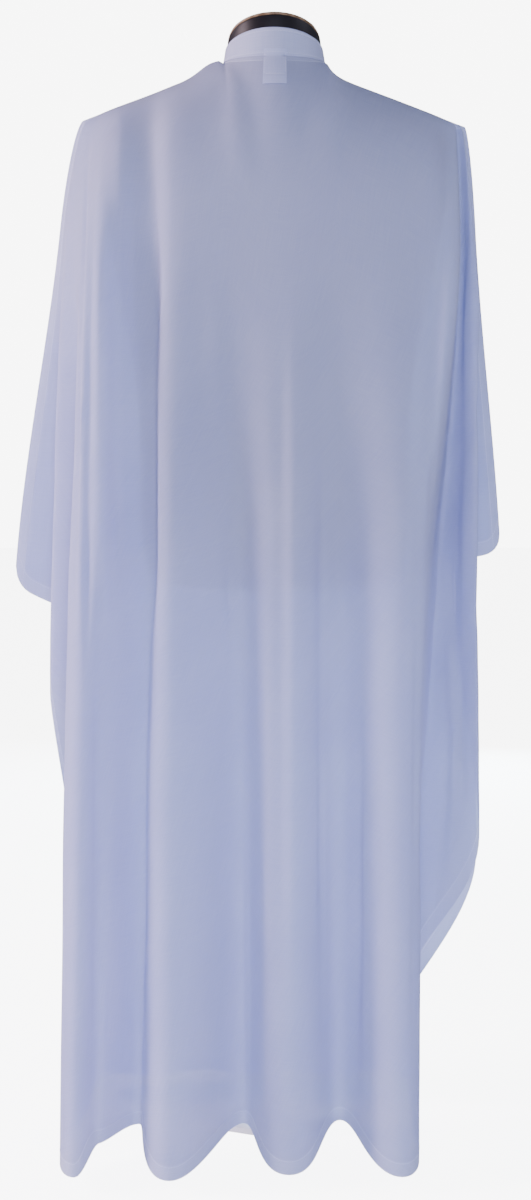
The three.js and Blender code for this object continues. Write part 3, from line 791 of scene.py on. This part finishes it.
# %% [markdown]
# ## The neck tab
# A short piece of cloth is folded over at its lower end and sewn across the collar seam. Its
# turned-in edges make four layers in all, so it is hardly see-through. It has to lie on what is
# under it, so rays are cast at the collar and the back to find their surface. Some rays go
# through the narrow gap of the collar seam and miss both. So one row of the tab has a thin notch
# near each side, which sinks into the seam. That is a known fault of this version.

# %% Tab on the centre back
TAB = {"width": 28, "top": 1400, "bottom": 1352, "x": 1, "layers": 4.0}
TAB_LIFT = 0.5  # clear of the cloth under it
TAB_FLARE = 1.6  # its left edge leans out by this much at the bottom
TAB_FOLD = 0.75  # the folded end reaches up to this share of its length
TAB_ROUND = 0.25  # how far its edges round away


def surface_behind(x, z, targets):
    """The rearmost point of some pieces at x and z in millimetres, as y."""
    start = Vector((x * MM, -1, z * MM))
    hits = [target.ray_cast(start, Vector((0, 1, 0))) for target in targets]
    return min(place.y / MM for found, place, _, _ in hits if found)


def eased(depths, passes=4):
    """Depths smoothed as a sheet that bridges small hollows, and never sinks below them."""
    for _ in range(passes):
        padded = np.pad(depths, ((1, 1), (1, 1)), mode="edge")
        around = (padded[:-2, 1:-1] + padded[2:, 1:-1] + padded[1:-1, :-2] + padded[1:-1, 2:]) / 4
        depths = np.minimum(depths, mix(depths, around, 0.7))
    return depths


def tab_piece():
    share, s = np.meshgrid(np.linspace(-0.5, 0.5, 21), np.linspace(0, 1, 40))
    z = mix(TAB["top"], TAB["bottom"], s)
    x = TAB["x"] + share * TAB["width"] + TAB_FLARE * s * np.minimum(share, 0) * 2
    under = np.array([surface_behind(a, b, (collar, back)) for a, b in zip(x.ravel(), z.ravel())])
    base = eased(under.reshape(x.shape)) - TAB_LIFT
    thick = CLOTH * (1 + smooth(TAB_FOLD - 0.005, TAB_FOLD + 0.01, s))
    round_off = TAB_ROUND * (smooth(0.44, 0.5, np.abs(share)) + smooth(0.985, 1, s))
    outer = np.stack([x, base - thick + round_off, z], axis=-1)
    inner = np.stack([x, base, z], axis=-1)
    uv = np.stack([share * TAB["width"], s * (TAB["top"] - TAB["bottom"])], axis=-1)
    piece = shell_mesh("cloth_tab", outer, inner, False, np.full(x.shape, TAB["layers"]), uv)
    soft_shading(piece)
    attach(piece, "root")
    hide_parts("neck_tab")
    print(piece.name, "at the centre back, y", base.min().round(1), "to", base.max().round(1))
    return piece, outer


tab, tab_face = tab_piece()

# %% [markdown]
# ## Sewing
# Each row of stitches follows a line on the finished cloth. The line is cut into equal steps,
# and every stitch is one short bump of thread that comes up out of the cloth and dives back in.
# Thousands of them show, so one stitch has only a few faces, and each piece of sewing is one mesh.

# %% One row of stitches
STITCH = {"pitch": 3.4, "length": 2.8, "radius": 0.26, "arch": 0.22, "sunk": 0.1, "rings": 5, "sides": 6}
AHEAD = 0.8  # the line's direction is taken from this far on both sides of a stitch


def stitch_shape():
    """Points of one stitch: along it, across it and up from the cloth."""
    t, turn = np.meshgrid(np.linspace(-1, 1, STITCH["rings"]),
                          np.arange(STITCH["sides"]) * 2 * math.pi / STITCH["sides"], indexing="ij")
    thick = STITCH["radius"] * np.sqrt(np.maximum(0.12, 1 - t**4))
    rise = STITCH["arch"] * (1 - t**2) - STITCH["sunk"]
    return np.stack([t * STITCH["length"] / 2, thick * np.cos(turn), rise + thick * np.sin(turn)],
                    axis=-1).reshape(-1, 3)


def stitch_faces():
    """Four-sided faces round the stitch, and one face at each end."""
    rings, sides = STITCH["rings"], STITCH["sides"]
    quads = []
    for start in range(0, (rings - 1) * sides, sides):
        for k in range(sides):
            a, b = start + k, start + (k + 1) % sides
            quads.append((a, b, b + sides, a + sides))
    near = tuple(range(sides))[::-1]
    far = tuple(range((rings - 1) * sides, rings * sides))
    return quads + [near, far]


def along_line(line, normals):
    """Centre, direction, side and outward direction of every stitch on one line."""
    length = np.concatenate([[0], np.cumsum(np.linalg.norm(np.diff(line, axis=0), axis=1))])
    places = np.arange(STITCH["pitch"], length[-1] - STITCH["pitch"] / 2, STITCH["pitch"])
    pick = lambda grid, at: np.stack([np.interp(at, length, grid[:, k]) for k in range(3)], axis=-1)
    centre, up = pick(line, places), pick(normals, places)
    ahead = pick(line, places + AHEAD) - pick(line, places - AHEAD)
    ahead /= np.linalg.norm(ahead, axis=1, keepdims=True)
    side = np.cross(up, ahead)
    side /= np.linalg.norm(side, axis=1, keepdims=True)
    return centre, ahead, side, np.cross(ahead, side)


def stitched(name, lines):
    """One piece with all the stitches of some lines. Each line is its points and their normals."""
    shape, faces = stitch_shape(), stitch_faces()
    points, polygons = [], []
    for line, normals in lines:
        for centre, ahead, side, up in zip(*along_line(line, normals)):
            start = len(points) * len(shape)
            points.append(centre + shape[:, :1] * ahead + shape[:, 1:2] * side + shape[:, 2:] * up)
            polygons += [tuple(start + k for k in face) for face in faces]
    mesh = bpy.data.meshes.new(name)
    mesh.from_pydata((np.concatenate(points) * MM).tolist(), [], polygons)
    mesh.validate()
    piece = bpy.data.objects.new(name, mesh)
    bpy.context.collection.objects.link(piece)
    soft_shading(piece, 60)
    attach(piece, "root")
    print(name, len(points), "stitches")
    return piece


print("one stitch has", len(stitch_faces()), "faces")

# %% [markdown]
# A panel has four kinds of line: along the lower hem, down a free side, beside the seams at the
# top, and down both edges of the head slit. Each is read off the panel's grid, with its normals,
# so that the stitches sit on every fold and crease.

# %% Lines to sew along
SEWN_INSIDE = 1.5  # a row of stitches lies this far inside the raw edge of its hem
SLIT_SEWN = 5  # and this far from the middle of the slit


def faces_of(panel):
    """The points of a panel and their normals."""
    return panel["points"], normals_on(panel["points"], panel["side"])


def on_row(panel, grid, row, place):
    """A grid's value on one row, at a level distance from the left edge."""
    return [np.interp(place, panel["across"][row], grid[row, :, k]) for k in range(3)]


def line_across(panel, down):
    """The line a given distance below the top edge, and its normals."""
    columns = range(panel["points"].shape[1])
    return [np.array([[np.interp(down, panel["down"][:, c], grid[:, c, k]) for k in range(3)]
                      for c in columns]) for grid in faces_of(panel)]


def line_down(panel, place):
    """The line that keeps a level distance from the left edge, or from the right one if it is minus."""
    places = panel["across"][:, -1 if place < 0 else 0] + place
    return [np.array([on_row(panel, grid, r, at) for r, at in enumerate(places)])
            for grid in faces_of(panel)]


def hem_line(panel):
    row = ROLL_ROWS + FALL_ROWS + HEM_SHARES.index(HEM_SEWN)
    return [grid[row] for grid in faces_of(panel)]


def slit_lines(panel):
    """Both edges of the head slit, and the short bar across its lower end."""
    rows = range(1, round(SLIT_REACH * ROLL_ROWS) + 3)  # a little past the slit's end
    middle = {r: np.interp(0, panel["points"][r, :, 0], panel["across"][r]) for r in rows}
    lines = [[np.array([on_row(panel, grid, r, middle[r] + inset) for r in rows])
              for grid in faces_of(panel)] for inset in (-SLIT_SEWN, SLIT_SEWN)]
    bar = [np.linspace(left[-1], right[-1], 5) for left, right in zip(*lines)]
    return lines + [bar]


for name, panel in PANELS.items():
    hem = np.linalg.norm(np.diff(hem_line(panel)[0], axis=0), axis=1).sum()
    print(f"{name}: {hem:.0f} mm of lower hem to sew")

# %% [markdown]
# The collar has two rows of stitches. The tab is sewn across its top, down both sides and along
# its folded end.

# %% Sew every piece


def panel_stitches(name):
    panel = PANELS[name]
    from_side = SIDE_HEM - SEWN_INSIDE
    lines = [hem_line(panel), line_down(panel, from_side), line_down(panel, -from_side),
             line_across(panel, SEAM_ALLOWANCE - SEWN_INSIDE)]
    return stitched("stitches_" + name, lines + (slit_lines(panel) if panel["slit"] else []))


def collar_stitches():
    angle = np.linspace(-COLLAR_END + 0.05, COLLAR_END - 0.05, 300)
    outwards = np.stack([np.sin(angle), -np.cos(angle), 0 * angle], axis=-1)
    lines = [(collar_face_points(angle, np.full(angle.shape, row)), outwards) for row in COLLAR_SEWN]
    return stitched("stitches_collar", lines)


def tab_stitches():
    """A square of stitches on the tab's grid, from near its top edge to its folded end."""
    first, last = 3, 28
    lines = [tab_face[first, 1:-1], tab_face[last, 1:-1], tab_face[first: last + 1, 1],
             tab_face[first: last + 1, -2]]
    return stitched("stitches_tab", [(line, np.tile([0.0, -1.0, 0.0], (len(line), 1))) for line in lines])


back_sewing, front_sewing = panel_stitches("back"), panel_stitches("front")
collar_sewing, tab_sewing = collar_stitches(), tab_stitches()

# %% [markdown]
# ## Sheets
# The size that each piece of cloth was cut to is printed. The flat size is measured on the
# finished mesh, because the cut is what the folds use up. The tab's comes out too large, because
# the notch in it is measured too.

# %% State the cut of each piece


def flat_cut(points):
    """Width, length and area of a grid of cloth, in metres."""
    across, down = lengths_on(points)
    a, b = np.diff(points[:-1], axis=1), np.diff(points[:, :-1], axis=0)
    area = np.linalg.norm(np.cross(a, b), axis=2).sum()
    return float(across.max() * MM), float(down.max() * MM), float(area * MM * MM)


for piece, sewing, face, held, under in (
        (back, back_sewing, PANELS["back"]["points"], "draped", "torso"),
        (front, front_sewing, PANELS["front"]["points"], "draped", "torso"),
        (collar, collar_sewing, collar_face, "stretched", "neck"),
        (tab, tab_sewing, tab_face, "laid", back)):
    width, length, area = flat_cut(face)
    print(f"{piece.name}: cut {width:.3f} x {length:.3f} m, {area:.4f} m2")

# %% [markdown]
# ## The dress form and its stand
# These pieces are hard and already have their true shape, only with flat facets. The points of a
# copy are merged and its sharp edges are bevelled. The form is also subdivided, so that the gloss
# runs smoothly over it.

# %% Smooth the hard pieces
SAME_POINT = 0.00002  # points closer than this are merged
HARD_PIECES = (  # node, name, angle of a sharp edge, width of its bevel, subdivisions, finish
    ("torso", "form_torso", 60, 0.004, 1, "form_black"),
    ("neck", "form_neck", 50, 0.0008, 1, "form_black"),
    ("neck_cap", "form_neck_cap", 60, 0.0006, 1, "cap_tan"),
    ("pole", "stand_pole", 50, 0.0008, 0, "stand_white"),
    ("stand_hub", "stand_collar", 50, 0.0015, 0, "stand_white"),
    ("stand_foot", "stand_three_arms", 50, 0.0015, 0, "stand_white"),
)


def refined(node, name, edge_angle, bevel, levels, slot):
    """A finer copy of one hard piece, which takes the place of its node."""
    only(frame["nodes"][node])
    bpy.ops.object.duplicate()
    piece = bpy.context.active_object
    piece.name = piece.data.name = name
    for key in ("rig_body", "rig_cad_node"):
        if key in piece:
            del piece[key]
    piece.parent = None
    only(piece)
    bpy.ops.object.mode_set(mode="EDIT")
    bpy.ops.mesh.select_all(action="SELECT")
    bpy.ops.mesh.remove_doubles(threshold=SAME_POINT)
    bpy.ops.mesh.tris_convert_to_quads(face_threshold=math.radians(30), shape_threshold=math.radians(40))
    bpy.ops.object.mode_set(mode="OBJECT")
    rim = piece.modifiers.new("rim", "BEVEL")
    rim.width = bevel
    rim.segments = 3
    rim.limit_method = "ANGLE"
    rim.angle_limit = math.radians(edge_angle)
    if levels:
        fine = piece.modifiers.new("fine", "SUBSURF")
        fine.levels = fine.render_levels = levels
    for modifier in list(piece.modifiers):
        bpy.ops.object.modifier_apply(modifier=modifier.name)
    soft_shading(piece, 35)
    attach(piece, "root")
    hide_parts(node)
    print(name, len(piece.data.polygons), "faces")
    return piece


hard_pieces = [(refined(*row), row[-1]) for row in HARD_PIECES]

# %% [markdown]
# ## Materials
# Each material is a small network of nodes. The cloth reads the UV map, so its threads follow
# the folds. The sewing thread and the hard pieces read Object coordinates.

# %% Node helpers


class Nodes:
    """Adds nodes to one material or world and joins them."""

    def __init__(self, owner):
        self.owner = owner
        owner.use_nodes = True
        self.tree = owner.node_tree
        self.tree.nodes.clear()

    def add(self, kind, inputs=None, **settings):
        node = self.tree.nodes.new("ShaderNode" + kind)
        for key, value in settings.items():
            setattr(node, key, value)
        for key, value in (inputs or {}).items():
            socket = node.inputs[key] if isinstance(key, int) else next(
                s for s in node.inputs if s.name == key and s.enabled)
            if isinstance(value, bpy.types.NodeSocket):
                self.tree.links.new(value, socket)
            else:
                socket.default_value = value
        return next((socket for socket in node.outputs if socket.enabled), None)

    def maths(self, operation, a, b=0.0):
        return self.add("Math", {0: a, 1: b}, operation=operation)

    def ramp(self, value, low, high, start=0.0, end=1.0):
        return self.add("MapRange", {"Value": value, "From Min": start, "From Max": end,
                                     "To Min": low, "To Max": high})

    def noise(self, place, scale, detail=2.0, stretch=None):
        if stretch:
            place = self.add("Mapping", {"Vector": place, "Scale": stretch})
        return self.add("TexNoise", {"Vector": place, "Scale": scale, "Detail": detail})

    def between(self, share, first, second):
        return self.add("Mix", {"Factor": share, "A": first, "B": second}, data_type="RGBA")

    def bump(self, height, strength, distance):
        return self.add("Bump", {"Height": height, "Strength": strength, "Distance": distance})

    def finish(self, shader, output="OutputMaterial"):
        self.add(output, {"Surface": shader})
        return self.owner


def material(name):
    return Nodes(bpy.data.materials.new(name))


print("node helpers:", ", ".join(name for name in vars(Nodes) if not name.startswith("_")))

# %% [markdown]
# The cloth is a sheer plain weave. Two sets of threads pass over and under each other, some of
# them a little thicker than the rest. Part of the light passes between the threads and part
# goes through them, less where two layers lie together. So the dark form inside makes the upper
# back darker than the free-hanging skirt.

# %% White cloth
THREAD = 0.00042  # metres from one thread to the next
CLOTH_COLOUR = (0.71, 0.745, 0.99, 1)
CLOTH_SHADE = (0.60, 0.64, 0.93, 1)
SLUBS_ACROSS = (30, 800, 1)  # thicker threads, long one way and fine the other
SLUBS_ALONG = (800, 22, 1)
LET_THROUGH = {"one_layer": 0.42, "two_layers": 0.28}  # light that passes through the threads
BETWEEN_THREADS = {"one_layer": 0.31, "four_layers": 0.1}  # and between them


def white_cloth(name):
    n = material(name)
    uv = n.add("UVMap", uv_map="cloth")
    parts = n.add("SeparateXYZ", {0: uv})
    weft, warp = parts, parts.node.outputs[1]
    turn = math.pi / THREAD
    over = n.maths("MULTIPLY", n.maths("SINE", n.maths("MULTIPLY", weft, turn)),
                   n.maths("SINE", n.maths("MULTIPLY", warp, turn)))
    slubs = n.maths("ADD", n.noise(uv, 1.0, stretch=SLUBS_ACROSS), n.noise(uv, 1.0, stretch=SLUBS_ALONG))
    cloud = n.noise(uv, 7.0, 3.0)
    tone = n.maths("ADD", n.ramp(slubs, -0.45, 0.45, 0.6, 1.4), n.ramp(cloud, 0.4, 0.8, 0.3, 0.7))
    colour = n.between(tone, CLOTH_SHADE, CLOTH_COLOUR)
    bump = n.bump(n.maths("ADD", n.maths("MULTIPLY", over, 0.25), slubs), 0.5, 0.0003)
    layers = n.add("Attribute", attribute_name="layers").node.outputs["Fac"]
    face = n.add("BsdfPrincipled", {"Base Color": colour, "Roughness": 0.85, "Normal": bump,
                                    "Specular IOR Level": 0.2, "Sheen Weight": 0.25,
                                    "Sheen Roughness": 0.45})
    through = n.add("BsdfTranslucent", {"Color": colour, "Normal": bump})
    lit = n.ramp(layers, LET_THROUGH["one_layer"], LET_THROUGH["two_layers"], 1, 2)
    woven = n.add("MixShader", {0: lit, 1: face, 2: through})
    gaps = n.ramp(layers, BETWEEN_THREADS["one_layer"], BETWEEN_THREADS["four_layers"], 1, 4)
    open_air = n.add("BsdfTransparent", {"Color": (1, 1, 1, 1)})
    return n.finish(n.add("MixShader", {0: gaps, 1: woven, 2: open_air}))


print("colour of the cloth:", CLOTH_COLOUR[:3], "and in its darker patches:", CLOTH_SHADE[:3])

# %% [markdown]
# The sewing thread is a fine white one, with the twist of its strands as bump. It is a little
# brighter than the cloth, as new thread is, and nothing shows through it.

# %% White thread
THREAD_TONES = (0.70, 0.72, 0.92, 1), (0.80, 0.82, 0.98, 1)


def sewing_thread():
    n = material("white_thread")
    place = n.add("TexCoord").node.outputs["Object"]
    twist = n.add("TexWave", {"Vector": place, "Scale": 900.0, "Distortion": 1.5},
                  bands_direction="DIAGONAL")
    fluff = n.noise(place, 300.0)
    return n.finish(n.add("BsdfPrincipled", {
        "Base Color": n.between(fluff, *THREAD_TONES), "Roughness": n.ramp(fluff, 0.5, 0.7),
        "Normal": n.bump(twist.node.outputs["Fac"], 0.4, 0.0001), "Sheen Weight": 0.3}))


cloth, thread = white_cloth("white_plain_weave"), sewing_thread()
for piece in (back, front, collar, tab):
    piece.data.materials.append(cloth)
for piece in (back_sewing, front_sewing, collar_sewing, tab_sewing):
    piece.data.materials.append(thread)
print("cloth on", back.name, front.name, collar.name, tab.name)

# %% [markdown]
# The form is moulded plastic with a hard gloss. A perfectly even gloss looks fake, so its
# roughness drifts a little, as where hands have polished it. The cap on the neck is turned
# wood, and the stand is steel under white paint.

# %% Form, cap and stand
BLACK_TONES = (0.003, 0.0025, 0.004, 1), (0.011, 0.007, 0.012, 1)
WOOD_TONES = (0.15, 0.085, 0.04, 1), (0.27, 0.17, 0.095, 1)
PAINT_TONES = (0.80, 0.81, 0.83, 1), (0.70, 0.71, 0.73, 1)


def black_gloss():
    n = material("black_gloss")
    place = n.add("TexCoord").node.outputs["Object"]
    drift = n.noise(place, 9.0, 4.0)
    return n.finish(n.add("BsdfPrincipled", {
        "Base Color": n.between(drift, *BLACK_TONES),
        "Roughness": n.ramp(drift, 0.38, 0.6, 0.3, 0.7), "Specular IOR Level": 0.3,
        "Normal": n.bump(n.noise(place, 420.0), 0.06, 0.0004)}))


def turned_wood():
    n = material("turned_wood")
    place = n.add("TexCoord").node.outputs["Object"]
    rings = n.add("TexWave", {"Vector": place, "Scale": 22.0, "Distortion": 5.0, "Detail": 3.0,
                              "Detail Scale": 1.6}, bands_direction="X").node.outputs["Fac"]
    pores = n.noise(place, 1.0, 3.0, stretch=(900, 70, 300))
    return n.finish(n.add("BsdfPrincipled", {
        "Base Color": n.between(rings, *WOOD_TONES), "Roughness": n.ramp(pores, 0.38, 0.6),
        "Normal": n.bump(pores, 0.15, 0.0003)}))


def white_paint():
    n = material("white_paint")
    place = n.add("TexCoord").node.outputs["Object"]
    dust = n.noise(place, 14.0, 5.0)
    return n.finish(n.add("BsdfPrincipled", {
        "Base Color": n.between(n.ramp(dust, 0, 1, 0.35, 0.7), *PAINT_TONES),
        "Roughness": n.ramp(dust, 0.32, 0.5, 0.3, 0.7),
        "Normal": n.bump(n.noise(place, 260.0), 0.12, 0.0004)}))


finishes = {"form_black": black_gloss(), "cap_tan": turned_wood(), "stand_white": white_paint()}
for piece, slot in hard_pieces:
    piece.data.materials.clear()
    piece.data.materials.append(finishes[slot])
    print(piece.name, "in", finishes[slot].name)

# %% [markdown]
# ## Floor, light and camera
# The cloth is nearly as pale as the floor, so a bright studio would wash its folds out. Floor and
# backdrop look white where they are seen directly, and give only a dim even light.

# %% Floor and sky
SKY_LIGHT = {"Color": (0.75, 0.81, 1.0, 1), "Strength": 0.25}
SKY_SEEN = {"Color": (1, 1, 1, 1), "Strength": 8.0}
FLOOR_SEEN = {"Color": (1, 1, 1, 1), "Strength": 7.0}


def seen_directly(n):
    """1 where the camera sees the studio itself, with no sheer cloth in between, and 0 elsewhere."""
    path = n.add("LightPath").node.outputs
    return n.maths("MULTIPLY", path["Is Camera Ray"], n.maths("LESS_THAN", path["Transparent Depth"], 0.5))


def studio_floor():
    bpy.ops.mesh.primitive_plane_add(size=40, location=(0, 0, 0))
    floor = bpy.context.active_object
    floor.name = "floor"
    n = material("pale_floor")
    matt = n.add("BsdfPrincipled", {"Base Color": (0.93, 0.93, 0.93, 1), "Roughness": 0.9,
                                    "Specular IOR Level": 0.1})
    glow = n.add("Emission", FLOOR_SEEN)
    floor.data.materials.append(n.finish(n.add("MixShader", {
        0: seen_directly(n), 1: matt, 2: n.add("AddShader", {0: matt, 1: glow})})))
    floor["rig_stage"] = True


def studio_sky():
    n = Nodes(bpy.data.worlds.new("studio"))
    shares = {0: seen_directly(n), 1: n.add("Background", SKY_LIGHT), 2: n.add("Background", SKY_SEEN)}
    bpy.context.scene.world = n.finish(n.add("MixShader", shares), "OutputWorld")


studio_floor()
studio_sky()
print("world:", bpy.context.scene.world.name)

# %% [markdown]
# Four round soft lights stand about the form. The strongest is at the left, grazes the folds and
# is faintly pink, like daylight off a warm wall. The one near the camera is cooler, so each fold
# has a warm side and a cool one. The one behind shines through the sheer cloth, and the one at
# the right only lifts the shadows.

# %% Lights
LOOK_AT = (0, 0, 0.8)
LIGHTS = (  # name, place, width, watts, colour
    ("near_camera", (0.1, -3.3, 0.7), 1.2, 76, (0.76, 0.81, 1.0)),
    ("left", (-3.0, -0.4, 1.6), 1.1, 160, (1.0, 0.78, 0.84)),
    ("right", (2.6, -0.6, 2.8), 1.6, 24, (0.86, 0.84, 1.0)),
    ("behind", (0.4, 3.2, 1.2), 2.0, 130, (0.62, 0.84, 1.0)),
)


def soft_light(name, place, size, watts, colour):
    light = bpy.data.lights.new(name, "AREA")
    light.shape = "DISK"
    light.size = size
    light.energy = watts
    light.color = colour
    lamp = bpy.data.objects.new(name, light)
    lamp.location = place
    lamp.rotation_euler = (Vector(LOOK_AT) - Vector(place)).to_track_quat("-Z", "Y").to_euler()
    bpy.context.collection.objects.link(lamp)


for row in LIGHTS:
    soft_light(*row)
    print("light", row[0], row[3], "W")

# %% [markdown]
# The camera stands behind the garment, a little above its middle, and looks slightly down.

# %% Camera
CAMERA = {"place": (-0.011, -2.2, 0.867), "tilt": 86, "sensor": 36, "lens": 50.88}

camera = bpy.data.objects.new("camera", bpy.data.cameras.new("camera"))
camera.location = CAMERA["place"]
camera.rotation_euler = (math.radians(CAMERA["tilt"]), 0, 0)
camera.data.sensor_fit = "AUTO"
camera.data.sensor_width = CAMERA["sensor"]
camera.data.lens = CAMERA["lens"]
bpy.context.collection.objects.link(camera)
bpy.context.scene.camera = camera
print("camera at", CAMERA["place"], "with a lens of", CAMERA["lens"], "mm")

# %% [markdown]
# ## Last check
# The box round the dressed model is measured, as the solid model's was at the start, and printed.
# The dressed model has to stay inside the solid model's box, apart from a little for the cloth.
# Both boxes are written down, to be compared.

# %% Sizes out
shown_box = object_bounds()
({"cad": [list(corner) for corner in cad_box],
           "visual": [list(corner) for corner in shown_box]})
print("visual box:", [[round(v, 4) for v in corner] for corner in shown_box])
